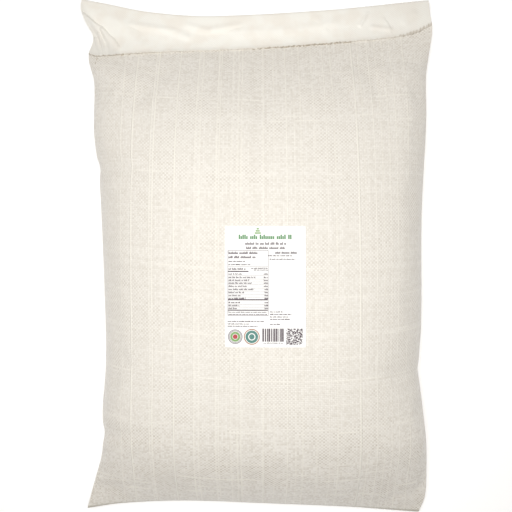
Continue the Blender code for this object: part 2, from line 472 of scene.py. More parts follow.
    def _gathered(self, tree: NodeTree, length: NodeSocket, gains: tuple[float, float]) -> Node:
        """Finds how much more the threads show towards both ends, where the cloth is gathered.

        Args:
            tree: the material's node tree.
            length: the place along the sack, in metres.
            gains: the factors at the head and at the foot.

        Returns:
            A node that is 1 along the sack's middle.
        """
        ends = zip((self.head_reach, self.foot_reach), gains)
        factors = [add_node(tree, "MapRange", [length, *reach, 1.0, gain]) for reach, gain in ends]
        return add_node(tree, "Math", factors, operation="MULTIPLY")


@dataclass(frozen=True)
class SmoothCloth:
    """Close-woven cream cotton, calendered smooth, handled and softly creased.

    The eye gets a matte, slightly warm white with faint clouds, bright where it is smoothed, with painted shade
    in grey left of the creased corner's fold and, less, at the right end. Its real thread of about 0.5 mm is
    too fine to show, so it is drawn at 3.2 mm.
    """

    shade_colour: str = "#FAF5EB"
    colour: str = "#FFFDF5"
    band_shade_colour: str = "#EBE8E1"
    frayed_edge_and_shadow_colour: str = "#A08C70"  # the frayed ends of the threads at the cut edge, and a painted shadow line along the edge
    roughness: float = 0.75
    ior: float = 1.5
    sheen: float = 0.05
    thread: float = 3.2 * MM
    thread_height: float = 0.25 * MM
    relief: float = 0.35
    crumple_relief: float = 4.0  # the small crumples' height against a thread's
    crumple_scale: float = 60.0
    cloud_scale: float = 34.0
    smoothed: Range = (0.40, 0.58, 0.10, 1.0)  # how bright it is, by the clouds
    thread_shown: Range = (0.40, 0.60, 0.30, 0.10)
    # Painted shade: the creased corner is greyer left of a slanted line along its fold, and the right end less
    # so
    slant: float = 0.8
    corner_fold_shade: Range = (-0.1890, -0.1980, 0.0, 0.50)
    right_end_shade: Range = (0.10, 0.17, 0.0, 0.24)
    edge_cover: Range = (0.40 * MM, 1.04 * MM, 1.0, 0.0)  # up from the cut edge
    # Distance from the band's middle, and how strongly the frayed edge and its painted shadow line show there
    edge_shown: Points = (
        (-0.250, 0.60), (-0.190, 0.40), (-0.150, 0.10), (-0.060, 0.12), (0.000, 0.25), (0.020, 0.55),
        (0.120, 0.55), (0.140, 0.18), (0.190, 0.18), (0.215, 0.40), (0.250, 0.42),
    )
    wide_edge: Range = (0.195, 0.225, 1.0, 4.6)  # the frayed edge and its painted shadow are wider at the right corner
    ragged_scale: float = 260.0
    ragged_width: Range = (0.35, 0.65, 0.6, 1.4)
    dashes: Range = (0.42, 0.58, 0.60, 1.2)

    def material(self) -> Material:
        """Builds the material on the piece's own map "cloth", which is in metres of cloth.

        Returns:
            The material.
        """
        material = new_material("smooth cloth", self.roughness, self.ior, self.sheen)
        tree = material.node_tree
        add = partial(add_node, tree)
        cloth_map = add("UVMap", uv_map="cloth")
        across, up = add("SeparateXYZ", [cloth_map]).outputs[:2]
        rate = 2.0 * math.pi / self.thread
        turns = [add("Math", [reach, rate], operation="MULTIPLY") for reach in (across, up)]
        thread = add("Math", [add("Math", [turn], operation="SINE") for turn in turns], operation="MULTIPLY")
        clouds = add("TexNoise", {"Vector": cloth_map, "Scale": self.cloud_scale, "Detail": 3.0})
        smoothed = add("MapRange", [clouds, *self.smoothed])
        clear = add("MapRange", [clouds, *self.thread_shown])
        threads = add("Math", [thread, clear], operation="MULTIPLY")
        smoothed = add("Math", [threads, smoothed], operation="ADD", use_clamp=True)
        # Painted shade: greyer left of the corner fold's slanted line, and towards the right end
        slant = add("Math", [up, self.slant, across], operation="MULTIPLY_ADD")
        corner = add("MapRange", [slant, *self.corner_fold_shade])
        right = add("MapRange", [across, *self.right_end_shade])
        band_shade = add("Math", [corner, right], operation="MAXIMUM")
        # The cut edge's brown line: partly real frayed threads, partly a painted shadow line where the edge
        # stands off the cloth
        frayed_and_shadow = self._frayed_edge_and_shadow(tree, across, up)
        grain = {"Vector": cloth_map, "Scale": self.crumple_scale, "Detail": 2.0, "Distortion": 0.6}
        height = add("Math", [add("TexNoise", grain), self.crumple_relief, thread], operation="MULTIPLY_ADD")
        bump = add("Bump", {"Strength": self.relief, "Distance": self.thread_height, "Height": height})
        layers = [(smoothed, self.colour), (band_shade, self.band_shade_colour), (frayed_and_shadow, self.frayed_edge_and_shadow_colour)]
        paint(tree, self.shade_colour, layers, bump)
        return material

    def _frayed_edge_and_shadow(self, tree: NodeTree, across: NodeSocket, up: NodeSocket) -> Node:
        """Finds how strongly the brown frayed ends and the painted shadow line along the cut edge show.

        Args:
            tree: the material's node tree.
            across: the distance from the band's middle, in metres.
            up: the distance from the cut edge, in metres.

        Returns:
            A node from 0 on clean cloth to the strength at the edge.
        """
        add = partial(add_node, tree)
        half = self.edge_shown[-1][0]
        strength = add("ValToRGB", [add("MapRange", [across, -half, half])])
        stops = strength.color_ramp.elements
        for place, _ in self.edge_shown[1:-1]:
            stops.new((place / half + 1.0) / 2.0)
        for stop, (_, shown) in zip(stops, self.edge_shown):
            stop.color = (shown, shown, shown, 1.0)
        along = add("Math", [across, self.ragged_scale], operation="MULTIPLY")
        ragged = add("TexNoise", {"W": along, "Scale": 1.0}, noise_dimensions="1D")
        width = add("MapRange", [ragged, *self.ragged_width])
        width = add("Math", [width, add("MapRange", [across, *self.wide_edge])], operation="MULTIPLY")
        reach = add("Math", [up, width], operation="DIVIDE")
        cover = add("MapRange", [reach, *self.edge_cover])
        dashes = add("MapRange", [ragged, *self.dashes])
        shown = add("Math", [dashes, strength], operation="MULTIPLY")
        return add("Math", [cover, shown], operation="MULTIPLY")


@dataclass(frozen=True)
class LabelPaper:
    """Coated white label paper, calendered, with a satin face and faint fibre clouds."""

    colour: str = "#FDFDFB"
    cloud_colour: str = "#F6F5F1"
    roughness: float = 0.5
    ior: float = 1.5
    fibre_scale: float = 260.0
    fibre_height: float = 0.05 * MM
    relief: float = 0.1
    clouded: Range = (0.35, 0.70, 0.0, 0.6)

    def material(self) -> Material:
        """Builds the material on Object coordinates.

        Returns:
            The material.
        """
        material = new_material("label paper", self.roughness, self.ior)
        tree = material.node_tree
        add = partial(add_node, tree)
        place = add("TexCoord").outputs["Object"]
        fibres = add("TexNoise", {"Vector": place, "Scale": self.fibre_scale, "Detail": 3.0})
        clouded = add("MapRange", [fibres, *self.clouded])
        bump = add("Bump", {"Strength": self.relief, "Distance": self.fibre_height, "Height": fibres})
        paint(tree, self.colour, [(clouded, self.cloud_colour)], bump)
        return material


@dataclass(frozen=True)
class PrintedInk:
    """Thermal or offset ink on paper: flat, thin and a little uneven in its cover."""

    ink: Ink
    roughness: float = 0.55
    ior: float = 1.5
    grain_scale: float = 900.0
    thin: Range = (0.40, 0.75, 0.0, 0.14)  # how much of the paper shows through

    def material(self) -> Material:
        """Builds the material on Object coordinates.

        Returns:
            The material.
        """
        material = new_material(f"{self.ink.name.lower()} ink", self.roughness, self.ior)
        add = partial(add_node, material.node_tree)
        place = add("TexCoord").outputs["Object"]
        grain = add("TexNoise", {"Vector": place, "Scale": self.grain_scale, "Detail": 2.0})
        thin = add("MapRange", [grain, *self.thin])
        paint(material.node_tree, self.ink.value, [(thin, LabelPaper.cloud_colour)])
        return material


@dataclass(frozen=True)
class BrownThread:
    """Twisted natural thread, dull brown, from the overcast edge of the mouth."""

    colour: str = "#8C7A5E"
    fleck_colour: str = "#B9A98C"
    roughness: float = 0.8
    ior: float = 1.5
    twist: float = 1.2 * MM

    def material(self) -> Material:
        """Builds the material on Object coordinates, with slanted bands for the twist.

        Returns:
            The material.
        """
        material = new_material("brown thread", self.roughness, self.ior)
        add = partial(add_node, material.node_tree)
        place = add("TexCoord").outputs["Object"]
        wave = {"Vector": place, "Scale": 0.05 / self.twist, "Distortion": 2.0}
        plies = add("TexWave", wave, bands_direction="DIAGONAL")
        paint(material.node_tree, self.colour, [(plies.outputs["Fac"], self.fleck_colour)])
        return material


@dataclass(frozen=True)
class SackForm:
    """The form of the filled sack, in metres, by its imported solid's values apart from the last three lumps.

    Places are given across, from -1 at the left side to 1 at the right, and along, from 0 at the head fold to
    1 at the foot seam.
    """

    shift: tuple[float, float]  # from these values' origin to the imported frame's
    left_side: Points = (
        (0.3705, -0.2565), (0.3605, -0.2568), (0.3380, -0.2480), (0.3175, -0.2366), (0.2860, -0.2425),
        (0.2470, -0.2315), (0.1700, -0.2278), (0.0980, -0.2184), (-0.0690, -0.2105), (-0.1490, -0.2098),
        (-0.2070, -0.2150), (-0.2720, -0.2185), (-0.3220, -0.2332), (-0.3680, -0.2480),
    )
    right_side: Points = (
        (0.3700, 0.2512), (0.3560, 0.2516), (0.3290, 0.2544), (0.2990, 0.2494), (0.2530, 0.2410),
        (0.1950, 0.2380), (0.0570, 0.2286), (-0.0920, 0.2276), (-0.1580, 0.2245), (-0.2050, 0.2303),
        (-0.2700, 0.2392), (-0.3220, 0.2434), (-0.3510, 0.2430), (-0.3735, 0.2364),
    )
    head_fold: Points = (
        (-1.0, 0.3715), (-0.87, 0.3640), (-0.60, 0.3487), (-0.25, 0.3411), (0.40, 0.3502), (1.0, 0.3700),
    )
    foot_seam: Points = (
        (-1.0, -0.3690), (-0.78, -0.3590), (-0.42, -0.3525), (0.0, -0.3545), (0.55, -0.3620), (1.0, -0.3745),
    )
    crown: Points = (
        (0.0, 0.0370), (0.06, 0.0430), (0.11, 0.0640), (0.17, 0.0940), (0.27, 0.1260), (0.40, 0.1450),
        (0.55, 0.1510), (0.70, 0.1470), (0.82, 0.1310), (0.91, 0.1030), (0.965, 0.0690), (1.0, 0.0360),
    )
    side_fold: Points = (
        (0.0, 0.0200), (0.10, 0.0300), (0.25, 0.0530), (0.50, 0.0620), (0.80, 0.0560), (0.93, 0.0330),
        (1.0, 0.0170),
    )
    belly_depth: Points = (
        (0.0, 0.0), (0.05, 0.0010), (0.11, 0.0200), (0.20, 0.0640), (0.32, 0.0860), (0.50, 0.0900),
        (0.78, 0.0880), (0.90, 0.0700), (0.965, 0.0340), (1.0, 0.0),
    )
    # Side, Y, depth, half width
    side_dents: tuple[tuple[float, float, float, float], ...] = (
        (-1, 0.1215, 0.0040, 0.0090), (-1, -0.2460, 0.0030, 0.0110), (1, -0.1560, 0.0020, 0.0090),
    )
    # X, Y, radius, height
    lumps: tuple[tuple[float, float, float, float], ...] = (
        (-0.115, 0.105, 0.085, 0.0035), (0.120, 0.130, 0.080, -0.0030), (-0.105, -0.150, 0.090, -0.0030),
        (0.115, -0.135, 0.085, 0.0035), (0.010, 0.205, 0.070, -0.0025), (0.000, -0.255, 0.080, 0.0025),
        (0.175, 0.215, 0.080, -0.0070), (-0.175, 0.205, 0.070, -0.0050),
        (0.208, 0.000, 0.060, 0.0050),
    )
    end_arch: float = 0.0160  # how far both flat ends rise in their middle
    end_reach: float = 0.16  # the share of the length over which an end grows flat
    seam_half: float = 0.0020  # half the thickness of the pressed seam
    floor_blend: float = 0.0050  # how softly the back meets the floor
    crown_power: float = 2.3  # how broad the top of the section is
    flat_end_power: float = 1.0
    round_side_power: float = 0.5

    def side_x(self, side: float, y: np.ndarray) -> np.ndarray:
        """Finds the sack's side, with its dents.

        Args:
            side: -1 for the left or 1 for the right.
            y: places along the sack.

        Returns:
            The X of each.
        """
        x = smooth_curve(self.left_side if side < 0 else self.right_side, y)
        for dented, dent_y, depth, half_width in self.side_dents:
            if dented == side:
                x = x - side * depth * bell(y - dent_y, half_width)
        return x

    def row_y(self, across: np.ndarray, along: np.ndarray) -> np.ndarray:
        """The Y of points of the sack."""
        head, foot = smooth_curve(self.head_fold, across), smooth_curve(self.foot_seam, across)
        return head * (1.0 - along) + foot * along

    def row_x(self, across: np.ndarray, along: np.ndarray) -> np.ndarray:
        """Finds how far across points of the sack lie.

        Args:
            across: places from -1 to 1.
            along: places from 0 to 1.

        Returns:
            The X of each.
        """
        left = self.side_x(-1, self.row_y(-1.0, along))
        right = self.side_x(1, self.row_y(1.0, along))
        return left + (right - left) * (across + 1.0) / 2.0

    def lump_height(self, x: np.ndarray, y: np.ndarray) -> np.ndarray:
        """Finds how far the filling lifts or lowers the front.

        Args:
            x: the places' X.
            y: the places' Y.

        Returns:
            The height of the lumps at each.
        """
        lift = np.zeros_like(x)
        for lump_x, lump_y, radius, height in self.lumps:
            lift += height * bell(np.hypot(x - lump_x, y - lump_y), radius)
        return lift

    def surface(self, across: np.ndarray, along: np.ndarray, side: np.ndarray) -> np.ndarray:
        """Finds points on the cloth.

        Args:
            across: places from -1 to 1.
            along: places from 0 to 1.
            side: above 0 for the front, below for the back.

        Returns:
            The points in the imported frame, one row each.
        """
        x, y = self.row_x(across, along), self.row_y(across, along)
        inward = ease(np.minimum(along, 1.0 - along) / self.end_reach)
        fold = smooth_curve(self.side_fold, along)
        middle = fold + self.end_arch * (1.0 - inward) * (1.0 - across * across)
        power = self.flat_end_power + (self.round_side_power - self.flat_end_power) * inward
        round_off = np.maximum(1.0 - np.abs(across) ** self.crown_power, 0.0) ** power
        centre = fold + self.end_arch * (1.0 - inward)
        rise = np.maximum(smooth_curve(self.crown, along) - centre - self.seam_half, 0.0)
        front = middle + self.seam_half + rise * round_off + self.lump_height(x, y) * inward * round_off
        height = middle - self.seam_half - smooth_curve(self.belly_depth, along) * round_off
        blend = np.clip(height + self.floor_blend, 0.0, None) ** 2 / (4.0 * self.floor_blend)
        back = np.where(height < self.floor_blend, blend, height)
        return np.stack([x + self.shift[0], y + self.shift[1], np.where(side > 0, front, back)], axis=-1)


@dataclass
class SackCloth:
    """The woven tube of the sack: its front, its back and its two pressed ends."""

    form: SackForm
    finish: WovenCloth
    columns: int = 90
    rows: int = 98
    row_crowding: float = 0.30
    girth_half: float = 0.5075  # a whole number of tapes, so that the chequer closes round the tube
    cloth_length: float = 0.78
    # The foot's threads are drawn outwards: how far, over what distance from the middle, and less on the left
    foot_spread: float = 8.0 * MM
    foot_reach: float = 0.13
    foot_start: float = 0.60  # as a share of the length
    left_share: float = 0.75
    settle_frames: int = 18
    settle_limit: float = 1.8 * MM
    # The head, the foot and both side folds are held while the rest settles
    held_head: float = 0.13
    held_foot: float = 0.985
    held_side: float = 0.995
    stretch_stiffness: float = 25.0
    shear_stiffness: float = 10.0
    bending_stiffness: float = 0.6
    pressure: float = 1.2
    slack: float = 0.006  # as a share of the cloth
    piece: Object = field(init=False)

    def build(self) -> Object:
        """Models the cloth, lets it settle over its filling and dresses it.

        Returns:
            The finished piece.
        """
        deselect_all()
        bpy.ops.mesh.primitive_cube_add(size=2.0)
        self.piece = bpy.context.active_object
        for axis, parts in ((0, self.columns), (1, self.rows)):
            cut_edges(self.piece, axis, 1.0, parts - 1)
        block = vertex_places(self.piece.data)
        across = np.sin(block[:, 0] * math.pi / 2.0)
        even = (1.0 - block[:, 1]) / 2.0
        along = even - self.row_crowding * np.sin(2.0 * math.pi * even) / (2.0 * math.pi)
        places = self.form.surface(across, along, block[:, 2])
        move_vertices(self.piece.data, places)
        self._lay_map(block, places)
        self._settle(across, along)
        smoother = self.piece.modifiers.new("smoother", "SUBSURF")
        smoother.levels = smoother.render_levels = 1
        apply_modifiers(self.piece)
        bpy.ops.object.shade_smooth()
        dress(self.piece, "sack_cloth", self.finish.material())
        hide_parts("sack_body")
        return self.piece

    def _lay_map(self, block: np.ndarray, places: np.ndarray) -> None:
        """Gives the cloth its map: round the girth from the front's middle, and along from the head fold.

        Args:
            block: each vertex's place in the block, from -1 to 1.
            places: each vertex's place on the sack.
        """
        column = np.rint((block[:, 0] + 1.0) / 2.0 * self.columns).astype(int)
        row = np.rint((1.0 - block[:, 1]) / 2.0 * self.rows).astype(int)
        sheets = {}
        for side in Side:
            grid = np.zeros((self.rows + 1, self.columns + 1, 3))
            on_side = block[:, 2] * side.value > 0
            grid[row[on_side], column[on_side]] = places[on_side]
            steps = np.linalg.norm(np.diff(grid, axis=1), axis=2)
            reach = np.hstack([np.zeros((self.rows + 1, 1)), np.cumsum(steps, axis=1)])
            falls = np.linalg.norm(np.diff(grid, axis=0), axis=2)
            fall = np.vstack([np.zeros((1, self.columns + 1)), np.cumsum(falls, axis=0)])
            sheets[side] = reach, fall / fall[-1] * self.cloth_length, grid[:, [self.columns // 2], 0]
        reach, down, middle_x = sheets[Side.FRONT]
        front_girth = reach - reach[:, [self.columns // 2]] + middle_x - self.form.shift[0]
        to_foot = np.linspace(0.0, 1.0, self.rows + 1)[:, None]
        offset = front_girth / self.foot_reach
        outwards = ease(offset) - self.left_share * ease(-offset)
        front_girth -= self.foot_spread * ease((to_foot - self.foot_start) / (1.0 - self.foot_start)) * outwards
        back_reach, back_down, _ = sheets[Side.BACK]
        middle = back_reach[:, [self.columns // 2]]
        left_start, right_start = front_girth[:, [0]], front_girth[:, [-1]]
        back_left = left_start - back_reach / middle * (self.girth_half + left_start)
        from_right = (back_reach[:, [-1]] - back_reach) / (back_reach[:, [-1]] - middle)
        back_right = right_start + from_right * (self.girth_half - right_start)

        mesh = self.piece.data
        corners = face_corners(mesh)
        totals = np.array([face.loop_total for face in mesh.polygons])
        face = np.repeat(np.arange(len(totals)), totals)
        centre = np.stack([(np.bincount(face, block[corners, k]) / totals)[face] for k in (0, 1)], axis=1)
        rows, columns = row[corners], column[corners]
        on_back = (block[corners, 2] < 0) & (np.abs(centre[:, 1]) < 0.999)
        back_girth = np.where(centre[:, 0] < 0, back_left[rows, columns], back_right[rows, columns])
        girth = np.where(on_back, back_girth, front_girth[rows, columns])
        length = np.where(on_back, back_down[rows, columns], down[rows, columns])
        lay_cloth_map(mesh, girth, length)

    def _settle(self, across: np.ndarray, along: np.ndarray) -> None:
        """Lets the cloth take up a little slack over its filling, by a cloth simulation that is then applied.

        Args:
            across: each vertex's place from the left side (-1) to the right (1).
            along: each vertex's place from the head fold (0) to the foot seam (1).
        """
        mesh = self.piece.data
        before = vertex_places(mesh)
        held = self.piece.vertex_groups.new(name="held")
        fixed = (along < self.held_head) | (along > self.held_foot) | (np.abs(across) > self.held_side)
        fixed |= before[:, 2] < 0.3 * MM  # what lies on the floor
        held.add([int(index) for index in np.flatnonzero(fixed)], 1.0, "REPLACE")
        cloth = self.piece.modifiers.new("settling", "CLOTH")
        settings = cloth.settings
        settings.quality = 4
        settings.mass = 0.15
        settings.tension_stiffness = settings.compression_stiffness = self.stretch_stiffness
        settings.shear_stiffness = self.shear_stiffness
        settings.bending_stiffness = self.bending_stiffness
        settings.air_damping = 4.0
        settings.use_pressure = True
        settings.uniform_pressure_force = self.pressure
        settings.shrink_min = -self.slack
        settings.vertex_group_mass = held.name
        settings.effector_weights.gravity = 0.0
        cloth.collision_settings.use_collision = False
        for step in range(1, self.settle_frames + 1):
            bpy.context.scene.frame_set(step)
        apply_modifiers(self.piece)
        bpy.context.scene.frame_set(1)
        moves = vertex_places(mesh) - before
        far = np.linalg.norm(moves, axis=1)
        log.info("settling moved the cloth by %.1f mm at most", far.max() / MM)
        kept = self.settle_limit * np.tanh(far / self.settle_limit) / np.maximum(far, 1e-9)
        after = before + moves * kept[:, None]
        after[:, 2] = np.maximum(after[:, 2], 0.0)
        move_vertices(mesh, after)
        self.piece.vertex_groups.clear()


class Drape:
    """Finds the height of the topmost cloth or paper, so that other pieces lie on it."""

    def __init__(self, *pieces: Object) -> None:
        """Takes in the faces to lie on.

        Args:
            pieces: the pieces that carry the others.
        """
        corners, faces = [], []
        for piece in pieces:
            start = len(corners)
            corners += [tuple(vertex.co) for vertex in piece.data.vertices]
            faces += [[start + index for index in face.vertices] for face in piece.data.polygons]
        self.tree = BVHTree.FromPolygons(corners, faces)

    def height(self, x: float, y: float) -> float:
        """The height of the surface over a place on the floor."""
        hit = self.tree.ray_cast(Vector((x, y, 1.0)), Vector((0.0, 0.0, -1.0)))[0]
        return hit.z if hit else 0.0

    def heights(self, places: np.ndarray) -> np.ndarray:
        """The heights of the surface over many places, one row each."""
        return np.array([self.height(x, y) for x, y in places[:, :2]])


@dataclass
class TurnedBand:
    """The mouth of the sack, turned over the head fold to the front, with its soft folds and its cut edge."""

    form: SackForm
    finish: SmoothCloth
    columns: int = 440
    rows: int = 72
    nose_steps: int = 7  # round the head fold
    clearance: float = 0.5 * MM
    thickness: float = 0.8 * MM
    widest: float = 0.996  # its half width as a share of the sack's
    crowding: float = 0.96  # how much closer its columns lie towards both ends
    sack_length: float = 0.72  # along the cloth, which turns a share of it into metres
    lip: float = 1.0 * MM
    lip_width: float = 3.0 * MM
    # Folds rise quickly from the head fold, and are flatter at the cut edge: by how much, over what width
    fold_rise: float = 2.5
    edge_flattening: tuple[float, float] = (0.45, 14.0 * MM)
    # The cut edge's unevenness: height, turns across and start
    ragged: tuple[tuple[float, float, float], ...] = (
        (0.16 * MM, 173.0, 0.0), (0.16 * MM, 311.0, 1.0), (0.24 * MM, 47.0, 0.0),
    )
    edge: Points = (
        (-1.0, 0.2905), (-0.93, 0.2840), (-0.60, 0.2893), (0.0, 0.2950), (0.50, 0.3057), (0.85, 0.3180),
        (1.0, 0.3345),
    )
    # Raised folds: a line of points (X, Y), height, half width
    folds: tuple[tuple[Points, float, float], ...] = (
        (((-0.249, 0.349), (-0.238, 0.339), (-0.2285, 0.322)), 1.6 * MM, 3.0 * MM),
        (((-0.2325, 0.313), (-0.228, 0.300), (-0.2215, 0.286)), 2.5 * MM, 1.9 * MM),
        (((-0.2285, 0.322), (-0.222, 0.304), (-0.2165, 0.286)), 2.9 * MM, 1.9 * MM),
        (((-0.2225, 0.326), (-0.2115, 0.306), (-0.206, 0.286)), 2.3 * MM, 2.6 * MM),
        (((-0.205, 0.347), (-0.178, 0.318), (-0.165, 0.298)), 1.6 * MM, 8.0 * MM),
        (((-0.181, 0.333), (-0.120, 0.322), (-0.099, 0.313)), 1.8 * MM, 5.5 * MM),
        (((-0.099, 0.332), (-0.070, 0.322), (-0.026, 0.332)), 1.8 * MM, 5.0 * MM),
        (((-0.030, 0.318), (0.060, 0.322), (0.110, 0.334)), 1.4 * MM, 8.0 * MM),
        (((0.085, 0.342), (0.098, 0.324)), 1.2 * MM, 6.0 * MM),
        (((0.1592, 0.3505), (0.1530, 0.3400), (0.1480, 0.3310)), 2.0 * MM, 2.3 * MM),
        (((0.166, 0.329), (0.192, 0.326)), 1.2 * MM, 3.5 * MM),
        (((0.226, 0.352), (0.214, 0.338)), 1.2 * MM, 6.0 * MM),
    )
    # Slopes up (above 0) or down to a line of points (X, Y) from its right: height, slope's width, reach beyond
    laps: tuple[tuple[Points, float, float, float], ...] = (
        (CORNER_FOLD, 3.4 * MM, 16.0 * MM, 60.0 * MM),
        (CORNER_FOLD, -2.6 * MM, 2.2 * MM, 24.0 * MM),
        (((0.192, 0.325), (0.190, 0.331), (0.187, 0.337)), 1.0 * MM, 2.0 * MM, 8.0 * MM),
    )
    piece: Object = field(init=False)

    def build(self) -> Object:
        """Models the band over the cloth's head and dresses it.

        Returns:
            The finished piece.
        """
        steps = self.rows + self.nose_steps
        deselect_all()
        bpy.ops.mesh.primitive_grid_add(x_subdivisions=self.columns, y_subdivisions=steps, size=2.0)
        self.piece = bpy.context.active_object
        flat = vertex_places(self.piece.data)
        share = (flat[:, 0] + 1.0) / 2.0
        step = np.rint((flat[:, 1] + 1.0) / 2.0 * steps)
        places, up = self._path(share, step)
        move_vertices(self.piece.data, places)
        corners = face_corners(self.piece.data)
        lay_cloth_map(self.piece.data, places[corners, 0] - self.form.shift[0], up[corners])
        thicken(self.piece, self.thickness, 50.0)
        dress(self.piece, "turned_band", self.finish.material())
        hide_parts("top_band")
        return self.piece

    def edge_along(self, across: np.ndarray) -> np.ndarray:
        """Finds how far down the free edge lies.

        Args:
            across: places from -1 to 1.

        Returns:
            Its distance from the head fold, as a share of the sack's length.
        """
        head, foot = self.form.row_y(across, 0.0), self.form.row_y(across, 1.0)
        ragged = sum(height * np.sin(across * turns + start) for height, turns, start in self.ragged)
        return (head - smooth_curve(self.edge, across) - ragged) / (head - foot)

    def fold_height(self, x: np.ndarray, y: np.ndarray) -> np.ndarray:
        """Finds the height of the band's folds and laps.

        Args:
            x: the places' X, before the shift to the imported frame.
            y: their Y.

        Returns:
            The height at each.
        """
        height = np.zeros_like(x)
        for line, fold, half_width in self.folds:
            height = np.maximum(height, fold * bell(self._distance(line, x, y), half_width))
        for line, lap, rise, reach in self.laps:
            beyond = self._distance(line, x, y)
            height += lap * ease(1.0 + beyond / rise) * bell(beyond, reach)
        return height

    @staticmethod
    def _distance(line: Points, x: np.ndarray, y: np.ndarray) -> np.ndarray:
        """Finds how far places lie from a line of points.

        Args:
            line: the points in their order.
            x: the places' X.
            y: the places' Y.

        Returns:
            The distances, above 0 on the line's left and below on its right.
        """
        nearest = np.full_like(x, 1.0)
        for (start_x, start_y), (end_x, end_y) in zip(line, line[1:]):
            run_x, run_y = end_x - start_x, end_y - start_y
            off_x, off_y = x - start_x, y - start_y
            share = np.clip((off_x * run_x + off_y * run_y) / (run_x**2 + run_y**2), 0.0, 1.0)
            far = np.hypot(off_x - share * run_x, off_y - share * run_y)
            side = np.where(run_x * off_y - run_y * off_x < 0.0, -1.0, 1.0)
            nearest = np.where(far < np.abs(nearest), side * far, nearest)
        return nearest

    def _path(self, share: np.ndarray, step: np.ndarray) -> tuple[np.ndarray, np.ndarray]:
        """Finds the band's points: up its front from the free edge, then round the head fold.

        Args:
            share: places across, from 0 to 1.
            step: steps up the band, from 0 at the free edge.

        Returns:
            The points, one row each, and their distances up the band.
        """
        bow = math.pi / 2.0 * self.crowding
        across = self.widest * np.sin((2.0 * share - 1.0) * bow) / math.sin(bow)
        edge_along = self.edge_along(across)
        up = np.minimum(step / self.rows, 1.0)
        along = edge_along * (1.0 - up)
        places = self.form.surface(across, along, np.ones_like(across))
        x, y = places[:, 0] - self.form.shift[0], places[:, 1] - self.form.shift[1]
        reach = edge_along * self.sack_length
        flattening, flat_width = self.edge_flattening
        flatter = 1.0 - flattening * bell(up * reach, flat_width)
        lift = self.fold_height(x, y) * ease((1.0 - up) * self.fold_rise) * flatter
        lift += self.lip * bell(up * reach, self.lip_width)
        places[:, 2] += self.clearance + lift
        turn = math.pi * np.clip(step - self.rows, 0.0, None) / self.nose_steps
        radius = self.form.seam_half + self.clearance
        on_nose = step > self.rows
        places[:, 1] += np.where(on_nose, self.clearance + radius * np.sin(turn), 0.0)
        places[:, 2] -= np.where(on_nose, radius * (1.0 - np.cos(turn)), 0.0)
        return places, up * reach + radius * turn


